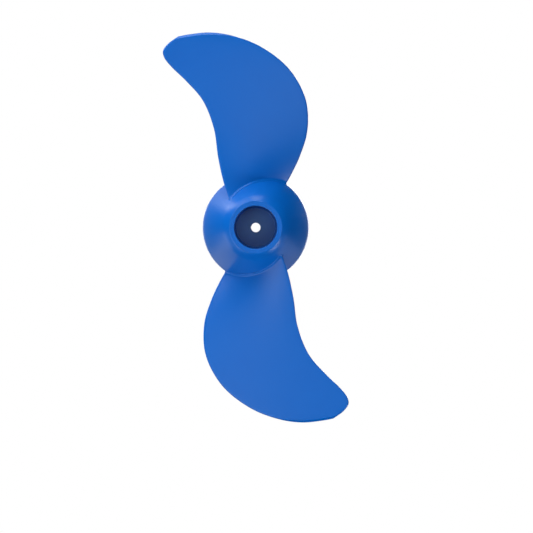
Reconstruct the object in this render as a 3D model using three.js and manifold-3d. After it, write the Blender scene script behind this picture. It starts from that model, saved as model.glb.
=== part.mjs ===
// Two-blade, right-handed propeller for an electric outboard motor, in millimetres.
// The shaft runs along Y: +Y is forward, towards the motor, and -Y is aft, where the water goes.
// The origin is on the shaft axis, in the plane of the hub's front rim. The blades stand up and down Z.
import * as THREE from 'three';
import { mergeVertices } from 'three/addons/utils/BufferGeometryUtils.js';
import Module from 'manifold-3d';

const wasm = await Module();
wasm.setup();

// Driving dimensions
const TIP_RADIUS = 150;
const HUB_RADIUS = 38.8;
const HUB_LENGTH = 50;
const PITCH = 125; // advance in one turn
const GAP = 0.3; // between neighbouring pieces

// Hub shell
const LAND_RADIUS = 18.5; // outer edge of the flat ring around the recess
// The outside from the land to the band is a chain of arcs, each tangent to the next: the radius and
// the tilt of the surface at its end, in degrees from facing aft. The last arc closes on the band.
const CROWN = { radius: 1.6, tilt: 40, steps: 4 };
const SHOULDER = { radius: 23.2, tilt: 60, steps: 4 };
const FLANK = { radius: 200, tilt: 68.5, steps: 5 };
const RIM_STEPS = 4;
const RIM_CHAMFER = 0.8;
const SKIN = 3.4;
const RECESS_RADIUS = 15.7;
const RECESS_FLOOR_RADIUS = 14.7; // the wall has draft
const RECESS_DEPTH = 26;
const RECESS_WALL = 3;
const FLOOR_THICKNESS = 5;
const BOLT_HOLE_RADIUS = 3.4; // for the M6 end of the shaft

// Boss, webs and bush
const BOSS_RADIUS = 12;
const BOSS_SETBACK = 2; // behind the front rim
const WEB_COUNT = 6;
const WEB_THICKNESS = 2.6;
const PIN_SLOT_WIDTH = 4.8;
const PIN_SLOT_DEPTH = 5;
const BUSH_RADIUS = 7;
const SHAFT_RADIUS = 5;
const BUSH_CHAMFER = 0.5; // at the mouth, where the shaft goes in

// Blade
const ROOT_THICKNESS = 8.5;
const TIP_THICKNESS = 2.8;
const EDGE_THICKNESS = 2;
const AFT_SHARE = 0.45; // part of the thickness on the pressure side
const BLADE_START = 0.6; // where the leading edge meets the hub, behind the band
// Outline seen from aft: the radius as a part of TIP_RADIUS and the angle in degrees from +X, in
// pairs that one chord joins. The first chord lies just inside the hub and the last is the tip.
const LEADING_EDGE = [
  [0.243, 55.0], [0.32, 56.4], [0.413, 58.4], [0.533, 61.9], [0.667, 68.6], [0.787, 78.1],
  [0.88, 88.6], [0.94, 97.3], [0.973, 103.5], [0.992, 109.4], [1, 112.1],
];
const TRAILING_EDGE = [
  [0.17, 136.0], [0.267, 125.6], [0.387, 118.2], [0.52, 113.0], [0.667, 112.7], [0.787, 115.5],
  [0.88, 117.75], [0.935, 118.35], [0.966, 117.75], [0.986, 115.7], [1, 112.1],
];
// The leading edge meets the hub here, at the hub's own radius.
const ROOT_ANGLE = 55.5;

const ROUND_SEGMENTS = 64;
const BUSH_SEGMENTS = 48;
const MERGE_DISTANCE = 1e-4;
const FLOOR_AFT = -HUB_LENGTH + RECESS_DEPTH;
const FLOOR_FRONT = FLOOR_AFT + FLOOR_THICKNESS;
const BAND_RADIUS_INSIDE = HUB_RADIUS - SKIN;

const BLUE = 0x0d4fb0;
const STEEL = 0xb9bcc0;

function plastic(color = BLUE) {
  return new THREE.MeshStandardMaterial({ color, roughness: 0.4, metalness: 0 });
}

function steel() {
  return new THREE.MeshStandardMaterial({ color: STEEL, roughness: 0.3, metalness: 1 });
}

function toManifold(geometry) {
  const bare = geometry.clone();
  for (const name of Object.keys(bare.attributes)) {
    if (name !== 'position') bare.deleteAttribute(name);
  }
  const merged = mergeVertices(bare, MERGE_DISTANCE);
  const mesh = new wasm.Mesh({
    numProp: 3,
    vertProperties: new Float32Array(merged.attributes.position.array),
    triVerts: new Uint32Array(merged.index.array),
  });
  mesh.merge();
  return new wasm.Manifold(mesh);
}

function toGeometry(manifold) {
  const mesh = manifold.getMesh();
  const geometry = new THREE.BufferGeometry();
  geometry.setAttribute('position', new THREE.BufferAttribute(mesh.vertProperties, mesh.numProp));
  geometry.setIndex(new THREE.BufferAttribute(mesh.triVerts, 1));
  geometry.computeVertexNormals();
  return geometry;
}

// A normal in the (radius, y) plane at a tilt from facing aft.
function normalAt(degrees) {
  const angle = THREE.MathUtils.degToRad(degrees);
  return new THREE.Vector2(Math.sin(angle), -Math.cos(angle));
}

// The arcs between the land and the band, as points (radius, y) moved out by offset. The flank and
// the rim alone are the stretch that the cored space follows.
function hubArcs(offset, flankOnly = false) {
  const points = [];
  const at = new THREE.Vector2(LAND_RADIUS, -HUB_LENGTH);
  let tilt = 0;
  const addArc = (radius, end, steps, kept) => {
    const centre = at.clone().addScaledVector(normalAt(tilt), -radius);
    for (let i = 0; i <= steps; i++) {
      const normal = normalAt(THREE.MathUtils.lerp(tilt, end, i / steps));
      const point = centre.clone().addScaledVector(normal, radius + offset);
      const repeated = i === 0 && points.length > 0;
      if (kept && !repeated) points.push(point.toArray());
    }
    at.copy(centre).addScaledVector(normalAt(end), radius);
    tilt = end;
  };
  for (const arc of [CROWN, SHOULDER, FLANK]) {
    addArc(arc.radius, arc.tilt, arc.steps, !flankOnly || arc === FLANK);
  }
  addArc((HUB_RADIUS - at.x) / (1 - normalAt(tilt).x), 90, RIM_STEPS, true);
  return points;
}

function lathe(profile, segments = ROUND_SEGMENTS) {
  const points = profile.map(([r, y]) => new THREE.Vector2(r, y));
  return new THREE.LatheGeometry(points, segments);
}

const skinInside = hubArcs(-SKIN, true);
const CAVITY_END = skinInside[0][1];
const BAND_START = skinInside.at(-1)[1]; // where the straight band behind the front rim begins

function recessWallOutside(y) {
  const draft = (RECESS_RADIUS - RECESS_FLOOR_RADIUS) / RECESS_DEPTH;
  return RECESS_FLOOR_RADIUS + RECESS_WALL + draft * (FLOOR_AFT - y);
}

function hubShell() {
  const profile = [
    [RECESS_RADIUS, -HUB_LENGTH],
    ...hubArcs(0),
    [HUB_RADIUS, -RIM_CHAMFER],
    [HUB_RADIUS - RIM_CHAMFER, 0],
    [BAND_RADIUS_INSIDE, 0],
    ...skinInside.slice().reverse(),
    [recessWallOutside(CAVITY_END), CAVITY_END],
    [recessWallOutside(FLOOR_FRONT), FLOOR_FRONT],
    [BOLT_HOLE_RADIUS, FLOOR_FRONT],
    [BOLT_HOLE_RADIUS, FLOOR_AFT],
    [RECESS_FLOOR_RADIUS, FLOOR_AFT],
    [RECESS_RADIUS, -HUB_LENGTH],
  ];
  return lathe(profile);
}

// One web in the plane of the shaft: it fills the cored space from the boss out to the skin, and
// runs aft beside the recess wall.
function web(angle) {
  const aft = CAVITY_END + GAP;
  const front = -BOSS_SETBACK;
  const onFloor = FLOOR_FRONT + GAP;
  const inBoss = BUSH_RADIUS + 2 * GAP; // inside the boss's wall, just clear of its hole
  const outline = [
    [inBoss, onFloor],
    [recessWallOutside(onFloor) + GAP, onFloor],
    [recessWallOutside(aft) + GAP, aft],
    ...hubArcs(-SKIN - GAP, true).filter(([, y]) => y > aft),
    [BAND_RADIUS_INSIDE - GAP, front],
    [inBoss, front],
  ];
  const shape = new THREE.Shape(outline.map(([r, y]) => new THREE.Vector2(r, y)));
  const geometry = new THREE.ExtrudeGeometry(shape, { depth: WEB_THICKNESS, bevelEnabled: false });
  geometry.translate(0, 0, -WEB_THICKNESS / 2);
  geometry.rotateY(angle);
  return toManifold(geometry);
}

function hubCore() {
  const hole = BUSH_RADIUS + GAP;
  const onFloor = FLOOR_FRONT + GAP;
  const boss = [
    [BOSS_RADIUS, onFloor], [BOSS_RADIUS, -BOSS_SETBACK], [hole, -BOSS_SETBACK], [hole, onFloor],
    [BOSS_RADIUS, onFloor],
  ];
  let core = toManifold(lathe(boss));
  for (let i = 0; i < WEB_COUNT; i++) {
    core = core.add(web(((i + 0.5) * 2 * Math.PI) / WEB_COUNT));
  }
  const slotLength = 2 * (BOSS_RADIUS + 1); // past the boss on both sides
  const slot = new THREE.BoxGeometry(slotLength, 2 * PIN_SLOT_DEPTH, PIN_SLOT_WIDTH);
  slot.translate(0, -BOSS_SETBACK, 0);
  return toGeometry(core.subtract(toManifold(slot)));
}

function shaftBush() {
  const front = -BOSS_SETBACK - PIN_SLOT_DEPTH - GAP;
  const aft = FLOOR_FRONT + GAP;
  const profile = [
    [BUSH_RADIUS, aft],
    [BUSH_RADIUS, front],
    [SHAFT_RADIUS + BUSH_CHAMFER, front],
    [SHAFT_RADIUS, front - BUSH_CHAMFER],
    [SHAFT_RADIUS, aft],
    [BUSH_RADIUS, aft],
  ];
  return lathe(profile, BUSH_SEGMENTS);
}

function edgeCurve(pairs) {
  const points = pairs.map(([part, degrees]) => {
    const angle = THREE.MathUtils.degToRad(degrees);
    const radius = part * TIP_RADIUS;
    return new THREE.Vector3(radius * Math.cos(angle), 0, radius * Math.sin(angle));
  });
  return new THREE.CatmullRomCurve3(points, false, 'centripetal');
}

const leading = edgeCurve(LEADING_EDGE);
const trailing = edgeCurve(TRAILING_EDGE);
const OUTLINE_STEPS = 160;
const outline = [...leading.getPoints(OUTLINE_STEPS), ...trailing.getPoints(OUTLINE_STEPS)];

// Distance from a point to the outline, in the plane across the shaft.
function toOutline(point) {
  return Math.min(...outline.map((other) => point.distanceTo(other)));
}

// Height of the middle of the blade along the shaft: a screw surface of constant pitch that
// starts at the leading edge of the root.
function screwY(angle) {
  const start = THREE.MathUtils.degToRad(ROOT_ANGLE);
  return BAND_START - BLADE_START - (PITCH / (2 * Math.PI)) * (angle - start);
}

// A point of the blade: span 0 to 1 goes from inside the hub to the tip, and chord 0 to 1 from the
// leading to the trailing edge. Side is -1 on the pressure face and 1 on the suction face.
function bladePoint(span, chord, side) {
  const a = leading.getPoint(span);
  const b = trailing.getPoint(span);
  const radius = THREE.MathUtils.lerp(Math.hypot(a.x, a.z), Math.hypot(b.x, b.z), chord);
  const angle = THREE.MathUtils.lerp(Math.atan2(a.z, a.x), Math.atan2(b.z, b.x), chord);
  const point = new THREE.Vector3(radius * Math.cos(angle), 0, radius * Math.sin(angle));
  const outward = THREE.MathUtils.clamp((radius - HUB_RADIUS) / (TIP_RADIUS - HUB_RADIUS), 0, 1);
  const middle = THREE.MathUtils.lerp(ROOT_THICKNESS, TIP_THICKNESS, outward);
  const crown = (middle - EDGE_THICKNESS) * 4 * chord * (1 - chord);
  const share = side < 0 ? AFT_SHARE : 1 - AFT_SHARE;
  const inset = Math.min(toOutline(point) / EDGE_THICKNESS, 1);
  const rounding = Math.sqrt(1 - (1 - inset) ** 2);
  point.y = screwY(angle) + side * rounding * (EDGE_THICKNESS / 2 + share * crown);
  return point;
}

const SPAN_STEPS = 30;
const CHORD_STEPS = 16;

// The whole blade as a closed skin of two faces that share their edges and their tip, with a cap
// across the root.
function bladeSkin() {
  const positions = [];
  const index = [];
  const rows = [];
  for (let i = 0; i <= SPAN_STEPS; i++) {
    const span = Math.sin((Math.PI / 2) * (i / SPAN_STEPS));
    const row = [];
    for (let k = 0; k < 2 * CHORD_STEPS; k++) {
      const side = k <= CHORD_STEPS ? -1 : 1;
      const step = k <= CHORD_STEPS ? k : 2 * CHORD_STEPS - k;
      const chord = 0.5 - 0.5 * Math.cos((Math.PI * step) / CHORD_STEPS);
      const onEdge = step === 0 || step === CHORD_STEPS;
      const point = bladePoint(span, chord, onEdge ? 0 : side);
      row.push(positions.length / 3);
      positions.push(point.x, point.y, point.z);
    }
    rows.push(row);
  }
  const around = 2 * CHORD_STEPS;
  for (let i = 0; i < SPAN_STEPS; i++) {
    for (let k = 0; k < around; k++) {
      const a = rows[i][k];
      const b = rows[i][(k + 1) % around];
      const c = rows[i + 1][(k + 1) % around];
      const d = rows[i + 1][k];
      index.push(a, c, b, a, d, c);
    }
  }
  for (let k = 1; k < around - 1; k++) {
    index.push(rows[0][0], rows[0][k], rows[0][k + 1]);
  }
  const geometry = new THREE.BufferGeometry();
  geometry.setAttribute('position', new THREE.Float32BufferAttribute(positions, 3));
  geometry.setIndex(index);
  return dropFlatTriangles(mergeVertices(geometry, MERGE_DISTANCE));
}

// The tip row is a single point, so its triangles that have two equal corners are dropped.
function dropFlatTriangles(geometry) {
  const kept = [];
  const corners = geometry.index.array;
  for (let i = 0; i < corners.length; i += 3) {
    const [a, b, c] = corners.slice(i, i + 3);
    if (a !== b && b !== c && c !== a) kept.push(a, b, c);
  }
  geometry.setIndex(kept);
  return geometry;
}

function blade() {
  const hub = lathe([[0, -HUB_LENGTH - GAP], ...hubArcs(GAP), [HUB_RADIUS + GAP, 0], [0, 0]]);
  return toGeometry(toManifold(bladeSkin()).subtract(toManifold(hub)));
}

function piece(name, geometry, material) {
  const mesh = new THREE.Mesh(geometry, material);
  mesh.name = name;
  return mesh;
}

const propeller = new THREE.Group();
propeller.add(piece('hub_shell', hubShell(), plastic()));
propeller.add(piece('hub_core', hubCore(), plastic()));
propeller.add(piece('shaft_bush', shaftBush(), steel()));
propeller.add(piece('blade_upper', blade(), plastic()));
const lower = piece('blade_lower', blade(), plastic());
lower.rotation.y = Math.PI;
propeller.add(lower);

export default propeller;
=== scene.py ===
"""A two-blade propeller for an electric outboard motor, seen from aft in a bright studio.

The shaft runs along Y: +Y is forward, towards the motor, and -Y is aft. Everything is in metres.
"""

import math

import bmesh
import bpy
import numpy as np
from mathutils import Matrix, Vector


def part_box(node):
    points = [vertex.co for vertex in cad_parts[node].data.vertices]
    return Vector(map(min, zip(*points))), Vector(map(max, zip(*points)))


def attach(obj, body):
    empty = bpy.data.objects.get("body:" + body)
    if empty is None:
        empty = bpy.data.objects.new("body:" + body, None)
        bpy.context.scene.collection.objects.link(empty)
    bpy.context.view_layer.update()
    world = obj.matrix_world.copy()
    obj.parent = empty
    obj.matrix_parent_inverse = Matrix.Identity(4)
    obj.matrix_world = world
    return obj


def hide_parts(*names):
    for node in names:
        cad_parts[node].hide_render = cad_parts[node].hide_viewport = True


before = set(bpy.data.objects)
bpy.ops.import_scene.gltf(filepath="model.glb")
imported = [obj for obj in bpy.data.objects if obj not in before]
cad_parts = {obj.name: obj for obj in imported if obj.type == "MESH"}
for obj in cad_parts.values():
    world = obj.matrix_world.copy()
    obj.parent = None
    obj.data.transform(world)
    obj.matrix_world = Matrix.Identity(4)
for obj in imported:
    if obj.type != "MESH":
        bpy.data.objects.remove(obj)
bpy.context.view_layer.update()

MM = 0.001

# Sizes worked out from the frame
SHELL_LO, SHELL_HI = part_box("hub_shell")
CORE_LO, CORE_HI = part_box("hub_core")
BUSH_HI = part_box("shaft_bush")[1]
HUB_RADIUS = SHELL_HI.x
HUB_LENGTH = -SHELL_LO.y
BOSS_FRONT = CORE_HI.y
CAVITY_END = CORE_LO.y
BUSH_RADIUS = BUSH_HI.x
TIP_RADIUS = max(math.hypot(v.co.x, v.co.z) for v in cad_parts["blade_upper"].data.vertices)

# Hub, as in the CAD model
LAND_RADIUS = 18.5 * MM
# Its outside from the land to the band, as arcs that are tangent to each other: the radius and the
# tilt of the surface at its end, in degrees from facing aft. A last arc closes on the band.
CROWN = (1.6 * MM, 40)
SHOULDER = (23.2 * MM, 60)
FLANK = (200 * MM, 68.5)
SKIN = 3.4 * MM
RECESS_RADIUS = 15.7 * MM
RECESS_FLOOR_RADIUS = 14.7 * MM
RECESS_DEPTH = 26 * MM
RECESS_WALL = 3 * MM
FLOOR_THICKNESS = 5 * MM
BOLT_HOLE_RADIUS = 3.4 * MM
FLOOR_AFT = -HUB_LENGTH + RECESS_DEPTH
FLOOR_FRONT = FLOOR_AFT + FLOOR_THICKNESS
BAND_RADIUS_INSIDE = HUB_RADIUS - SKIN
BOSS_RADIUS = 12 * MM
SHAFT_RADIUS = 5 * MM
WEB_COUNT = 6
WEB_THICKNESS = 2.6 * MM
WEB_FILLET = 1.6 * MM
PIN_SLOT_WIDTH = 4.8 * MM
PIN_SLOT_DEPTH = 5 * MM
CORE_ROUNDING = 0.35 * MM
BUSH_CHAMFER = 0.5 * MM
EMBED = 0.2 * MM  # how far a moulded piece reaches into its neighbour
CUT_OVERLAP = 1 * MM  # how far a cutting shape reaches past what it cuts

# Blade, as in the CAD model
PITCH = 125 * MM
ROOT_ANGLE = math.radians(55.5)
BLADE_START = 0.6 * MM
ROOT_THICKNESS = 8.5 * MM
TIP_THICKNESS = 2.8 * MM
EDGE_THICKNESS = 2 * MM
AFT_SHARE = 0.45
EDGE_ROUNDING = 1.2 * MM
ROOT_FILLET = 2.1 * MM
FILLET_SHARE = (0.1, 1.2)  # of ROOT_FILLET: the least and the most that a fillet reaches
FILLET_AT_EDGES = 0.2  # of a fillet's height, at the blade's leading and trailing edges
ROOT_DEPTH = 2.2 * MM  # how far a blade reaches into the hub's skin
# The outline seen from aft: the radius as a part of TIP_RADIUS and the angle in degrees from +X.
LEADING_EDGE = [
    (0.243, 55.0), (0.32, 56.4), (0.413, 58.4), (0.533, 61.9), (0.667, 68.6), (0.787, 78.1),
    (0.88, 88.6), (0.94, 97.3), (0.973, 103.5), (0.992, 109.4), (1, 112.1),
]
TRAILING_EDGE = [
    (0.17, 136.0), (0.267, 125.6), (0.387, 118.2), (0.52, 113.0), (0.667, 112.7), (0.787, 115.5),
    (0.88, 117.75), (0.935, 118.35), (0.966, 117.75), (0.986, 115.7), (1, 112.1),
]
# A narrow bevel runs along the pressure side of the leading edge, straight on past the tip's corner.
BEVEL_WIDTH = 1.6 * MM
BEVEL_LEAVES = 0.5 * MM  # of the edge's thickness
BEVEL_FROM = (92, 104)  # degrees over which it widens
BEVEL_INNER = 0.8 * TIP_RADIUS  # inside this radius the leading edge has none
BEVEL_BLEND = 0.3  # the part of its width over which the rounded edge gives way to it

SPAN_STEPS = 160
ROOT_CROWDING = 1.5  # above 1, the rows stand closer towards the root
CHORD_STEPS = 72
EDGE_SAMPLES = 500
ROUND_SEGMENTS = 240
SPACE_SEGMENTS = 144
BUSH_SEGMENTS = 160

# Finish
DEEP_BLUE = (0.0012, 0.125, 0.555, 1)
CLEAR_BLUE = (0.0018, 0.138, 0.585, 1)
# Painted shade: a darker blue that stands in for the shade inside the nut recess.
RECESS_WALL_SHADE_COLOUR = (0.0012, 0.09, 0.4, 1)
# Painted reflection: a lighter, greyer blue laid on the recess floor, strongest near its middle,
# standing in for reflected light.
FLOOR_REFLECTION_COLOUR = (0.09, 0.235, 0.495, 1)
FLOOR_REFLECTION_STRENGTH = (0.9, 0.35)  # at the inner radius and beside the recess's wall
FLOOR_REFLECTION_INNER_RADIUS = 6 * MM
PLASTIC_ROUGHNESS = (0.27, 0.33)
STEEL_COLOUR = (0.58, 0.58, 0.565, 1)
STEEL_ROUGHNESS = (0.22, 0.4)

# Studio
CAMERA_DISTANCE = 5.7
VIEW_WIDTH = 0.3876  # across the blades
VIEW_CENTRE = Vector((0.0078, -0.03, -0.0284))
FLOOR_HALF_SIZE = 9
FLOOR_HEIGHT = -1.6
SOFTBOX_DISTANCE = 2.5
# Each softbox: its name, its angle off the shaft's aft end, its clock angle seen from aft, counted
# from the right through the top, its size in metres and its power in watts.
SOFTBOXES = [
    ("front", 0, 0, 1.25, 3),
    ("front_right", 28, 0, 1.25, 7),
    ("front_left", 28, 180, 1.25, 5),
    ("top", 55, 90, 1.25, 22),
    ("top_left", 55, 135, 1.25, 21),
    ("low_left", 55, 225, 2.2, 38),
    ("low_right", 72, 315, 1.25, 44),
    ("high_left", 80, 120, 1.25, 15),
    ("side_top", 105, 90, 1.25, 12),
    ("side_low_left", 105, 205, 1.25, 9),
    ("side_right", 105, 330, 1.25, 3.5),
    ("highlight_top", 86, 90, 0.6, 7),
    ("highlight_left", 98, 135, 0.6, 6),
    ("highlight_back_left", 112, 142, 0.6, 7),
    ("back_top_left", 130, 135, 1.25, 4.5),
    ("back_low_left", 130, 225, 1.25, 4.5),
    ("back_low_right", 130, 315, 1.25, 3),
    ("far_left", 155, 180, 1.25, 4.5),
    ("far_right", 155, 0, 1.25, 2.5),
    ("behind", 180, 0, 1.25, 14),
    ("behind_top", 165, 80, 1.25, 22),
    ("behind_right", 165, 10, 1.25, 12),
]


# ---------------------------------------------------------------- camera

def make_camera():
    """A long lens straight along the shaft from aft, with the propeller left of and above centre."""
    data = bpy.data.cameras.new("camera")
    data.sensor_width = 36
    data.lens = data.sensor_width * CAMERA_DISTANCE / VIEW_WIDTH
    data.clip_start = 0.1
    data.clip_end = 60
    camera = bpy.data.objects.new("camera", data)
    camera.location = VIEW_CENTRE - Vector((0, CAMERA_DISTANCE, 0))
    camera.rotation_euler = (math.pi / 2, 0, 0)
    bpy.context.scene.collection.objects.link(camera)
    bpy.context.scene.camera = camera


make_camera()


# ---------------------------------------------------------------- mesh helpers

def new_object(name, vertices, faces):
    mesh = bpy.data.meshes.new(name)
    mesh.from_pydata([tuple(v) for v in vertices], [], faces)
    mesh.validate()
    mesh.shade_smooth()
    obj = bpy.data.objects.new(name, mesh)
    bpy.context.scene.collection.objects.link(obj)
    return obj


def face_out(obj):
    edit = bmesh.new()
    edit.from_mesh(obj.data)
    bmesh.ops.recalc_face_normals(edit, faces=edit.faces)
    if edit.calc_volume(signed=True) < 0:
        bmesh.ops.reverse_faces(edit, faces=edit.faces)
    edit.to_mesh(obj.data)
    edit.free()


def rounded(corners, step=math.radians(6)):
    """The closed outline through corners (r, y, radius), with each corner rounded to its radius."""
    points = []
    count = len(corners)
    for i, (r, y, radius) in enumerate(corners):
        here = Vector((r, y))
        if radius == 0:
            points.append(here)
            continue
        before = (Vector(corners[i - 1][:2]) - here).normalized()
        after = (Vector(corners[(i + 1) % count][:2]) - here).normalized()
        half = before.angle(after) / 2
        centre = here + (before + after).normalized() * radius / math.sin(half)
        start = here + before * radius / math.tan(half) - centre
        end = here + after * radius / math.tan(half) - centre
        sweep = math.atan2(start.cross(end), start.dot(end))
        steps = max(2, math.ceil(abs(sweep) / step))
        for k in range(steps + 1):
            angle = sweep * k / steps
            cos, sin = math.cos(angle), math.sin(angle)
            turned = Vector((start.x * cos - start.y * sin, start.x * sin + start.y * cos))
            points.append(centre + turned)
    return points


def lathe(name, profile, segments=ROUND_SEGMENTS):
    """A closed ring: profile is a closed outline of points (r, y) turned about the shaft."""
    vertices = []
    for k in range(segments):
        angle = 2 * math.pi * k / segments
        vertices += [(p[0] * math.cos(angle), p[1], p[0] * math.sin(angle)) for p in profile]
    count = len(profile)
    faces = []
    for k in range(segments):
        a, b = k * count, ((k + 1) % segments) * count
        for i in range(count):
            j = (i + 1) % count
            faces.append((a + i, a + j, b + j, b + i))
    obj = new_object(name, vertices, faces)
    face_out(obj)
    return obj


def boolean(obj, other, operation):
    """Joins or cuts obj with other, and removes other."""
    modifier = obj.modifiers.new("cut", "BOOLEAN")
    modifier.operation = operation
    modifier.solver = "EXACT"
    modifier.object = other
    apply_modifiers(obj)
    bpy.data.objects.remove(other)


def apply_modifiers(obj):
    graph = bpy.context.evaluated_depsgraph_get()
    mesh = bpy.data.meshes.new_from_object(obj.evaluated_get(graph))
    obj.modifiers.clear()
    obj.data = mesh


# ---------------------------------------------------------------- hub

def normal_at(degrees):
    """A normal in the (r, y) plane at a tilt from facing aft."""
    angle = math.radians(degrees)
    return Vector((math.sin(angle), -math.cos(angle)))


def hub_arcs(offset, flank_only=False, step=2):
    """Points (r, y) from the land to the band, moved out by offset, every few degrees of tilt."""
    points = []
    at, tilt = Vector((LAND_RADIUS, -HUB_LENGTH)), 0
    for arc in (CROWN, SHOULDER, FLANK, None):
        rim = (HUB_RADIUS - at.x) / (1 - normal_at(tilt).x), 90
        radius, end = arc or rim
        centre = at - normal_at(tilt) * radius
        steps = math.ceil((end - tilt) / step) * (4 if arc is FLANK else 1)
        if not flank_only or arc in (FLANK, None):
            first = 0 if not points else 1
            for k in range(first, steps + 1):
                normal = normal_at(tilt + (end - tilt) * k / steps)
                points.append(centre + normal * (radius + offset))
        at, tilt = centre + normal_at(end) * radius, end
    return points


SKIN_INSIDE = hub_arcs(-SKIN, flank_only=True)
BAND_START = SKIN_INSIDE[-1].y


def skin_inside(y):
    heights = [p.y for p in SKIN_INSIDE]
    return float(np.interp(y, heights, [p.x for p in SKIN_INSIDE]))


def recess_wall_outside(y):
    draft = (RECESS_RADIUS - RECESS_FLOOR_RADIUS) / RECESS_DEPTH
    return RECESS_FLOOR_RADIUS + RECESS_WALL + draft * (FLOOR_AFT - y)


def split_long(points, longest, margin=0.2 * MM):
    """Adds points on long straight stretches, and one near each end, so that the shading stays even."""
    result = []
    for i, here in enumerate(points):
        after = points[(i + 1) % len(points)]
        length = (after - here).length
        result.append(here)
        if length > longest:
            near = margin / length
            steps = math.ceil(length / longest)
            result += [here.lerp(after, near + (1 - 2 * near) * k / steps) for k in range(steps + 1)]
    return result


def make_hub_shell():
    corners = [
        (RECESS_RADIUS, -HUB_LENGTH, 0.35 * MM),
        *[(p.x, p.y, 0) for p in hub_arcs(0)],
        (HUB_RADIUS, 0, 0.8 * MM),
        (BAND_RADIUS_INSIDE, 0, 0.5 * MM),
        *[(p.x, p.y, 0) for p in reversed(SKIN_INSIDE[1:])],
        (skin_inside(CAVITY_END), CAVITY_END, 0.8 * MM),
        (recess_wall_outside(CAVITY_END), CAVITY_END, 1.2 * MM),
        (recess_wall_outside(FLOOR_FRONT), FLOOR_FRONT, 1 * MM),
        (BOLT_HOLE_RADIUS, FLOOR_FRONT, 0.3 * MM),
        (BOLT_HOLE_RADIUS, FLOOR_AFT, 0.3 * MM),
        (RECESS_FLOOR_RADIUS, FLOOR_AFT, 0.8 * MM),
    ]
    shell = lathe("moulded_hub_shell", split_long(rounded(corners), 2 * MM))
    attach(shell, "root")
    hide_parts("hub_shell")
    return shell


def core_outline():
    """The boss and its webs seen along the shaft, with a fillet where each web leaves the boss."""
    half = WEB_THICKNESS / 2
    spread = math.asin((half + WEB_FILLET) / (BOSS_RADIUS + WEB_FILLET))
    centre = Vector((BOSS_RADIUS + WEB_FILLET, 0))
    centre.rotate(turn(spread))
    fillet_steps, arc_steps = 8, 12
    fillet = []
    for k in range(fillet_steps + 1):
        angle = -math.pi / 2 - (math.pi / 2 - spread) * k / fillet_steps
        fillet.append(centre + WEB_FILLET * Vector((math.cos(angle), math.sin(angle))))
    side = [Vector((HUB_RADIUS, half)), *fillet]
    pitch = 2 * math.pi / WEB_COUNT
    arc = []
    for k in range(1, arc_steps):
        angle = spread + (pitch - 2 * spread) * k / arc_steps
        arc.append(BOSS_RADIUS * Vector((math.cos(angle), math.sin(angle))))
    mirrored = [Vector((p.x, -p.y)) for p in reversed(side)]
    outline = []
    for i in range(WEB_COUNT):
        for p in [*mirrored, *side, *arc]:
            turned = p.copy()
            turned.rotate(turn((i + 0.5) * pitch))
            outline.append(turned)
    return outline


def turn(angle):
    """A turn in the plane, for Vector.rotate."""
    return Matrix.Rotation(angle, 2)


def prism(name, outline, aft, front):
    count = len(outline)
    vertices = [(p.x, aft, p.y) for p in outline] + [(p.x, front, p.y) for p in outline]
    faces = [tuple(range(count)), tuple(range(2 * count - 1, count - 1, -1))]
    faces += [(i, (i + 1) % count, count + (i + 1) % count, count + i) for i in range(count)]
    obj = new_object(name, vertices, faces)
    face_out(obj)
    return obj


def make_hub_core():
    core = prism("moulded_hub_core", core_outline(), CAVITY_END - 2 * CUT_OVERLAP, BOSS_FRONT)
    aft = CAVITY_END - EMBED
    floor = FLOOR_FRONT - EMBED
    wall = [p for p in hub_arcs(EMBED - SKIN, flank_only=True) if p.y > aft]
    space = [
        (BUSH_RADIUS, floor),
        (BUSH_RADIUS, BOSS_FRONT + CUT_OVERLAP),
        (BAND_RADIUS_INSIDE + EMBED, BOSS_FRONT + CUT_OVERLAP),
        *[(p.x, p.y) for p in reversed(wall)],
        (skin_inside(aft) + EMBED, aft),
        (recess_wall_outside(aft) - EMBED, aft),
        (recess_wall_outside(floor) - EMBED, floor),
    ]
    boolean(core, lathe("space", space, SPACE_SEGMENTS), "INTERSECT")
    x, z = BOSS_RADIUS + CUT_OVERLAP, PIN_SLOT_WIDTH / 2
    slot = [Vector(corner) for corner in ((-x, -z), (x, -z), (x, z), (-x, z))]
    cutter = prism("slot", slot, BOSS_FRONT - PIN_SLOT_DEPTH, BOSS_FRONT + CUT_OVERLAP)
    boolean(core, cutter, "DIFFERENCE")
    bevel = core.modifiers.new("bevel", "BEVEL")
    bevel.limit_method = "ANGLE"
    bevel.angle_limit = math.radians(50)
    bevel.width = CORE_ROUNDING
    bevel.segments = 3
    apply_modifiers(core)
    core.data.shade_smooth()
    core.data.set_sharp_from_angle(angle=math.radians(35))
    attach(core, "root")
    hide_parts("hub_core")
    return core


def make_shaft_bush():
    front, aft = BUSH_HI.y, FLOOR_FRONT
    corners = [
        (BUSH_RADIUS, aft, 0.2 * MM),
        (BUSH_RADIUS, front, 0.3 * MM),
        (SHAFT_RADIUS + BUSH_CHAMFER, front, 0.1 * MM),
        (SHAFT_RADIUS, front - BUSH_CHAMFER, 0.1 * MM),
        (SHAFT_RADIUS, aft, 0.2 * MM),
    ]
    bush = lathe("turned_shaft_bush", split_long(rounded(corners), 1 * MM), BUSH_SEGMENTS)
    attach(bush, "root")
    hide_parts("shaft_bush")
    return bush


# ---------------------------------------------------------------- blades

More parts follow.
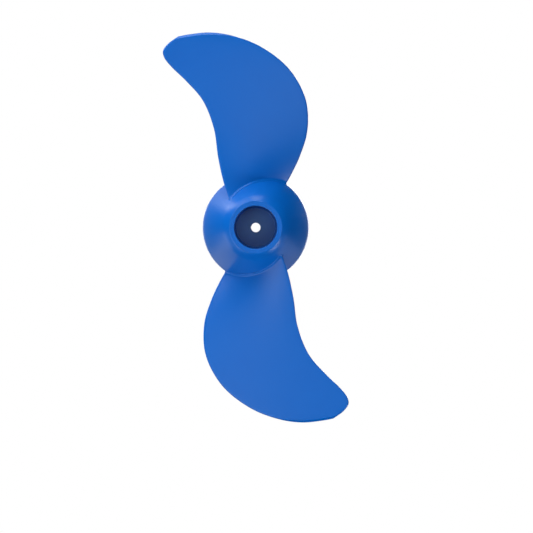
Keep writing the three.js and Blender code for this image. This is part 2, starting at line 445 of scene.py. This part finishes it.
def edge_curve(pairs, at):
    """Points (r, angle) of an edge at parameters 0 to 1: a centripetal Catmull-Rom curve."""
    polar = np.array(pairs, float) * (TIP_RADIUS, math.pi / 180)
    knots = np.stack([polar[:, 0] * np.cos(polar[:, 1]), polar[:, 0] * np.sin(polar[:, 1])], 1)
    knots = np.vstack([2 * knots[0] - knots[1], knots, 2 * knots[-1] - knots[-2]])
    place = np.clip(np.asarray(at, float), 0, 1) * (len(pairs) - 1)
    first = np.minimum(place.astype(int), len(pairs) - 2)
    t = (place - first)[:, None]
    p0, p1, p2, p3 = (knots[first + k] for k in range(4))
    gaps = (p0, p1), (p1, p2), (p2, p3)
    d0, d1, d2 = (np.sqrt(np.linalg.norm(b - a, axis=1))[:, None] for a, b in gaps)
    m1 = ((p1 - p0) / d0 - (p2 - p0) / (d0 + d1) + (p2 - p1) / d1) * d1
    m2 = ((p2 - p1) / d1 - (p3 - p1) / (d1 + d2) + (p3 - p2) / d2) * d1
    c2 = -3 * p1 + 3 * p2 - 2 * m1 - m2
    c3 = 2 * p1 - 2 * p2 + m1 + m2
    xz = p1 + m1 * t + c2 * t * t + c3 * t ** 3
    return np.hypot(xz[:, 0], xz[:, 1]), np.arctan2(xz[:, 1], xz[:, 0])


def smooth_step(low, high, value):
    t = np.clip((value - low) / (high - low), 0, 1)
    return t * t * (3 - 2 * t)


def distance_to(line, points):
    """Distance of each point to a polyline, in the plane across the shaft."""
    a, b = line[:-1], line[1:]
    along = b - a
    square = np.maximum((along ** 2).sum(1), 1e-18)
    best = np.full(len(points), np.inf)
    for i in range(len(a)):
        offset = points - a[i]
        t = np.clip(offset @ along[i] / square[i], 0, 1)
        gap = offset - t[:, None] * along[i]
        best = np.minimum(best, np.hypot(gap[:, 0], gap[:, 1]))
    return best


def height_above_hub(points):
    """Signed distance of each point from the hub's outside."""
    profile = [Vector((0, -HUB_LENGTH)), *hub_arcs(0), Vector((HUB_RADIUS, 0))]
    line = np.array([tuple(p) for p in profile])
    plane = np.stack([np.hypot(points[:, 0], points[:, 2]), points[:, 1]], 1)
    radius = np.interp(plane[:, 1], line[1:, 1], line[1:, 0])
    return distance_to(line, plane) * np.where(plane[:, 0] < radius, -1, 1)


def hub_normals(grid):
    """The normal of the hub's outside beside each point."""
    profile = np.array([tuple(p) for p in hub_arcs(0)])
    normal = (np.array([tuple(p) for p in hub_arcs(1 * MM)]) - profile) / MM
    outward = np.interp(grid[:, :, 1], profile[:, 1], normal[:, 0])
    aft = np.interp(grid[:, :, 1], profile[:, 1], normal[:, 1])
    radius = np.hypot(grid[:, :, 0], grid[:, :, 2])
    return np.stack([outward * grid[:, :, 0] / radius, aft, outward * grid[:, :, 2] / radius], 2)


def grid_normals(grid):
    """The normal of the blade at each point, outwards: the first faces of a row are on the aft side."""
    along = np.gradient(grid, axis=0)
    around = np.roll(grid, -1, axis=1) - np.roll(grid, 1, axis=1)
    normal = np.cross(along, around)
    length = np.linalg.norm(normal, axis=2, keepdims=True)
    normal = normal / np.maximum(length, 1e-12)
    aft_facing = normal[:, CHORD_STEPS // 2, 1].mean() < 0
    return normal if aft_facing else -normal


def edge_line(pairs):
    """An edge as a fine polyline of points (x, z)."""
    radius, angle = edge_curve(pairs, np.linspace(0, 1, EDGE_SAMPLES))
    return np.stack([radius * np.cos(angle), radius * np.sin(angle)], 1)


def bevel_depth(plane, radius, angle):
    """How far each point lies into the bevel: 0 at its inner side and 1 at its outer side."""
    edge = edge_line(LEADING_EDGE)
    beyond = edge[-1] + (edge[-1] - edge[-2]) * EDGE_SAMPLES / 10
    to_edge = distance_to(np.vstack([edge, beyond]), plane.reshape(-1, 2)).reshape(radius.shape)
    width = BEVEL_WIDTH * smooth_step(*BEVEL_FROM, np.degrees(angle)) * (radius > BEVEL_INNER)
    return np.clip(1 - to_edge / np.maximum(width, 1e-9), 0, 1)


def root_flare(grid, rounding):
    """How each point of the blade moves out to make the fillet on the hub."""
    normals = grid_normals(grid)
    height = height_above_hub(grid.reshape(-1, 3)).reshape(rounding.shape)
    # A fillet reaches less far where the two surfaces meet at a flatter angle.
    flatness = (normals * hub_normals(grid)).sum(2)
    fillet = ROOT_FILLET * np.clip(1 - flatness, *FILLET_SHARE)
    near = np.clip(1 - height / fillet, 0, 1)
    flare = fillet * (1 - np.sqrt(1 - near ** 2))
    flare *= FILLET_AT_EDGES + (1 - FILLET_AT_EDGES) * rounding
    return normals * flare[:, :, None]


def blade_grid():
    """Points of one blade, as rows from inside the hub to the tip, each going round a section."""
    span = np.sin(math.pi / 2 * np.linspace(0, 1, SPAN_STEPS + 1) ** ROOT_CROWDING)
    around = np.arange(2 * CHORD_STEPS)
    step = np.where(around <= CHORD_STEPS, around, 2 * CHORD_STEPS - around)
    side = np.where((step == 0) | (step == CHORD_STEPS), 0, np.where(around < CHORD_STEPS, -1, 1))
    chord = 0.5 - 0.5 * np.cos(math.pi * step / CHORD_STEPS)
    (r_a, angle_a), (r_b, angle_b) = edge_curve(LEADING_EDGE, span), edge_curve(TRAILING_EDGE, span)
    radius = r_a[:, None] + (r_b - r_a)[:, None] * chord
    angle = angle_a[:, None] + (angle_b - angle_a)[:, None] * chord
    plane = np.stack([radius * np.cos(angle), radius * np.sin(angle)], 2)

    outline = np.vstack([edge_line(LEADING_EDGE), edge_line(TRAILING_EDGE)[::-1]])
    inset = distance_to(outline, plane.reshape(-1, 2)).reshape(radius.shape)
    outward = np.clip((radius - HUB_RADIUS) / (TIP_RADIUS - HUB_RADIUS), 0, 1)
    middle = ROOT_THICKNESS + (TIP_THICKNESS - ROOT_THICKNESS) * outward
    crown = (middle - EDGE_THICKNESS) * 4 * chord * (1 - chord)
    share = np.where(side < 0, AFT_SHARE, 1 - AFT_SHARE)
    rounding = np.sqrt(1 - (1 - np.clip(inset / EDGE_ROUNDING, 0, 1)) ** 2)

    depth = bevel_depth(plane, radius, angle)
    bevel = smooth_step(0, BEVEL_BLEND, depth)
    rounding += (1 - rounding) * bevel
    half = rounding * (EDGE_THICKNESS / 2 + share * crown)
    pressure = -half * (1 - depth) + depth * (EDGE_THICKNESS / 2 - BEVEL_LEAVES)
    rim = depth * bevel * (EDGE_THICKNESS - BEVEL_LEAVES) / 2
    shift = np.where(side > 0, half, np.where(side < 0, pressure, rim))

    screw = BAND_START - BLADE_START - PITCH / (2 * math.pi) * (angle - ROOT_ANGLE)
    grid = np.stack([plane[:, :, 0], screw + shift, plane[:, :, 1]], 2)
    return grid + root_flare(grid, rounding)


def keep_in_skin(points):
    """Points with those that lie too deep in the hub moved out to ROOT_DEPTH under its outside."""
    profile = [*hub_arcs(0), Vector((HUB_RADIUS, 0))]
    radius = np.hypot(points[:, :, 0], points[:, :, 2])
    outside = np.interp(points[:, :, 1], [p.y for p in profile], [p.x for p in profile])
    scale = np.maximum(1, (outside - ROOT_DEPTH) / radius)
    return points * np.stack([scale, np.ones_like(scale), scale], 2)


def make_blade(name, node, turned):
    points = keep_in_skin(blade_grid())
    if turned:
        points = points * (-1, 1, -1)
    rows, around = points.shape[:2]
    vertices = points[:-1].reshape(-1, 3).tolist()
    tip = len(vertices)
    vertices.append(points[-1, 0].tolist())
    faces = []
    for i in range(rows - 2):
        for k in range(around):
            a, b = i * around + k, i * around + (k + 1) % around
            faces.append((a, b, b + around, a + around))
    last = (rows - 2) * around
    faces += [(last + k, last + (k + 1) % around, tip) for k in range(around)]
    faces += [(k, k + 1, around - k - 2, around - k - 1) for k in range(CHORD_STEPS - 1)]
    blade = new_object(name, vertices, faces)
    face_out(blade)
    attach(blade, "root")
    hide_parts(node)
    return blade


# ---------------------------------------------------------------- materials

def node(tree, kind, **values):
    made = tree.nodes.new(kind)
    for key, value in values.items():
        if hasattr(made, key):
            setattr(made, key, value)
        else:
            made.inputs[key].default_value = value
    return made


def math_node(tree, operation, *inputs):
    """A maths node's output, from sockets and numbers."""
    made = tree.nodes.new("ShaderNodeMath")
    made.operation = operation
    for socket, value in zip(made.inputs, inputs):
        if isinstance(value, (int, float)):
            socket.default_value = value
        else:
            tree.links.new(value, socket)
    return made.outputs[0]


def ramp(tree, value, start, end, low=0.0, high=1.0):
    """Value mapped from start..end to low..high, and held at both ends."""
    made = node(tree, "ShaderNodeMapRange")
    tree.links.new(value, made.inputs["Value"])
    for name, number in (("From Min", start), ("From Max", end), ("To Min", low), ("To Max", high)):
        made.inputs[name].default_value = number
    return made.outputs["Result"]


def shaft_coordinates(tree):
    """The object coordinates, the distance from the shaft's axis, and the place along the shaft."""
    place = node(tree, "ShaderNodeTexCoord").outputs["Object"]
    parts = node(tree, "ShaderNodeSeparateXYZ")
    tree.links.new(place, parts.inputs[0])
    x, y, z = parts.outputs
    square = math_node(tree, "ADD", math_node(tree, "MULTIPLY", x, x), math_node(tree, "MULTIPLY", z, z))
    return place, math_node(tree, "SQRT", square), y


def mix_colour(tree, factor, first, second):
    made = node(tree, "ShaderNodeMixRGB", blend_type="MIX")
    tree.links.new(factor, made.inputs[0])
    for socket, colour in zip(made.inputs[1:], (first, second)):
        if isinstance(colour, tuple):
            socket.default_value = colour
        else:
            tree.links.new(colour, socket)
    return made.outputs[0]


def add_recess_shade_and_reflection(tree, radius, along, colour, height):
    """The colour and the bump's height, with painted shade darkening the nut recess's wall and a painted
    reflection greying its floor, where fine bumped rings are added too.
    """
    inside = math_node(tree, "LESS_THAN", radius, RECESS_RADIUS + 0.2 * MM)
    aft = math_node(tree, "LESS_THAN", along, FLOOR_AFT + 0.5 * MM)
    inside = math_node(tree, "MULTIPLY", inside, aft)
    # Painted shade: inside the recess the blue darkens over the first 4 mm in from the mouth and stays
    # dark beyond, floor included.
    deep = ramp(tree, along, -HUB_LENGTH, -HUB_LENGTH + 4 * MM)
    colour = mix_colour(tree, math_node(tree, "MULTIPLY", inside, deep), colour, RECESS_WALL_SHADE_COLOUR)
    # Painted reflection: the floor is greyed, most at the inner radius and least beside the wall.
    on_floor = ramp(tree, along, FLOOR_AFT - 0.6 * MM, FLOOR_AFT - 0.1 * MM)
    floor_reflection = ramp(tree, radius, FLOOR_REFLECTION_INNER_RADIUS, RECESS_FLOOR_RADIUS, *FLOOR_REFLECTION_STRENGTH)
    floor_reflection = math_node(tree, "MULTIPLY", floor_reflection, math_node(tree, "MULTIPLY", inside, on_floor))
    colour = mix_colour(tree, floor_reflection, colour, FLOOR_REFLECTION_COLOUR)
    rings = node(tree, "ShaderNodeTexNoise", noise_dimensions="1D", Scale=1500.0, Detail=2.0)
    tree.links.new(radius, rings.inputs["W"])
    rings = math_node(tree, "MULTIPLY", rings.outputs["Fac"], floor_reflection)
    return colour, math_node(tree, "MULTIPLY_ADD", rings, 2, height)


def blue_plastic(name, recess=False):
    """Satin moulded plastic: deep blue all through, with a fine even grain.

    With recess, painted shade darkens the nut recess's wall and a painted reflection greys its floor.
    """
    material = bpy.data.materials.new(name)
    material.use_nodes = True
    tree = material.node_tree
    shader = tree.nodes["Principled BSDF"]
    shader.inputs["IOR"].default_value = 1.5
    shader.inputs["Specular IOR Level"].default_value = 0.3
    place, radius, along = shaft_coordinates(tree)
    cloud = node(tree, "ShaderNodeTexNoise", Scale=38.0, Detail=3.0, Roughness=0.55)
    tree.links.new(place, cloud.inputs["Vector"])
    cloud = cloud.outputs["Fac"]
    grain = node(tree, "ShaderNodeTexNoise", Scale=2600.0, Detail=2.0, Roughness=0.5)
    tree.links.new(place, grain.inputs["Vector"])
    colour, height = mix_colour(tree, cloud, DEEP_BLUE, CLEAR_BLUE), grain.outputs["Fac"]
    if recess:
        colour, height = add_recess_shade_and_reflection(tree, radius, along, colour, height)
    tree.links.new(colour, shader.inputs["Base Color"])
    tree.links.new(ramp(tree, cloud, 0, 1, *PLASTIC_ROUGHNESS), shader.inputs["Roughness"])
    bump = node(tree, "ShaderNodeBump", Strength=0.06, Distance=0.00004)
    tree.links.new(height, bump.inputs["Height"])
    tree.links.new(bump.outputs["Normal"], shader.inputs["Normal"])
    return material


def turned_steel():
    """Stainless steel with the fine rings that a lathe leaves."""
    material = bpy.data.materials.new("turned_bush_steel")
    material.use_nodes = True
    tree = material.node_tree
    shader = tree.nodes["Principled BSDF"]
    shader.inputs["Metallic"].default_value = 1
    shader.inputs["Base Color"].default_value = STEEL_COLOUR
    _, radius, along = shaft_coordinates(tree)
    rings = node(tree, "ShaderNodeTexNoise", noise_dimensions="1D", Scale=6000.0, Detail=2.0)
    tree.links.new(math_node(tree, "ADD", radius, along), rings.inputs["W"])
    rings = rings.outputs["Fac"]
    tree.links.new(ramp(tree, rings, 0, 1, *STEEL_ROUGHNESS), shader.inputs["Roughness"])
    bump = node(tree, "ShaderNodeBump", Strength=0.25, Distance=0.00003)
    tree.links.new(rings, bump.inputs["Height"])
    tree.links.new(bump.outputs["Normal"], shader.inputs["Normal"])
    return material


def dress(obj, material):
    obj.data.materials.clear()
    obj.data.materials.append(material)


# ---------------------------------------------------------------- studio

def make_floor():
    """A wide pale floor far below. It glows evenly by itself, so that it throws no light upwards."""
    corners = (-1, -1), (1, -1), (1, 1), (-1, 1)
    vertices = [(x * FLOOR_HALF_SIZE, y * FLOOR_HALF_SIZE, FLOOR_HEIGHT) for x, y in corners]
    floor = new_object("floor", vertices, [(0, 1, 2, 3)])
    material = bpy.data.materials.new("pale_floor")
    material.use_nodes = True
    shader = material.node_tree.nodes["Principled BSDF"]
    shader.inputs["Base Color"].default_value = (0.5, 0.5, 0.5, 1)
    shader.inputs["Roughness"].default_value = 0.8
    shader.inputs["Specular IOR Level"].default_value = 0
    shader.inputs["Emission Color"].default_value = (1, 1, 1, 1)
    shader.inputs["Emission Strength"].default_value = 0.9
    dress(floor, material)
    floor.visible_diffuse = False
    floor.visible_glossy = False


def make_world():
    """White to the camera, and dark to the propeller, which only the softboxes light."""
    world = bpy.data.worlds.new("studio")
    world.use_nodes = True
    tree = world.node_tree
    seen = tree.nodes["Background"]
    seen.inputs["Color"].default_value = (1, 1, 1, 1)
    dark = node(tree, "ShaderNodeBackground", Strength=0.0)
    ray = node(tree, "ShaderNodeLightPath")
    both = node(tree, "ShaderNodeMixShader")
    tree.links.new(ray.outputs["Is Camera Ray"], both.inputs[0])
    tree.links.new(dark.outputs[0], both.inputs[1])
    tree.links.new(seen.outputs[0], both.inputs[2])
    tree.links.new(both.outputs[0], tree.nodes["World Output"].inputs["Surface"])
    bpy.context.scene.world = world


def make_softbox(name, off_axis, clock, size, power):
    """A square softbox that faces the hub and that the camera doesn't see."""
    off, around = math.radians(off_axis), math.radians(clock)
    way = Vector((math.sin(off) * math.cos(around), -math.cos(off), math.sin(off) * math.sin(around)))
    data = bpy.data.lights.new(name, "AREA")
    data.shape = "SQUARE"
    data.size = size
    data.energy = power
    light = bpy.data.objects.new(name, data)
    light.location = way * SOFTBOX_DISTANCE
    light.rotation_mode = "QUATERNION"
    light.rotation_quaternion = way.to_track_quat("Z", "Y")
    light.visible_camera = False
    bpy.context.scene.collection.objects.link(light)


hub_shell = make_hub_shell()
hub_core = make_hub_core()
shaft_bush = make_shaft_bush()
blade_upper = make_blade("moulded_blade_upper", "blade_upper", False)
blade_lower = make_blade("moulded_blade_lower", "blade_lower", True)
plastic = blue_plastic("moulded_plastic")
for piece in (hub_core, blade_upper, blade_lower):
    dress(piece, plastic)
# The hub shell's material holds the recess's painted shade and painted reflection.
dress(hub_shell, blue_plastic("moulded_plastic_with_recess_shade_and_reflection", recess=True))
dress(shaft_bush, turned_steel())

make_floor()
make_world()
for softbox in SOFTBOXES:
    make_softbox(*softbox)
bpy.context.scene.view_settings.view_transform = "Standard"
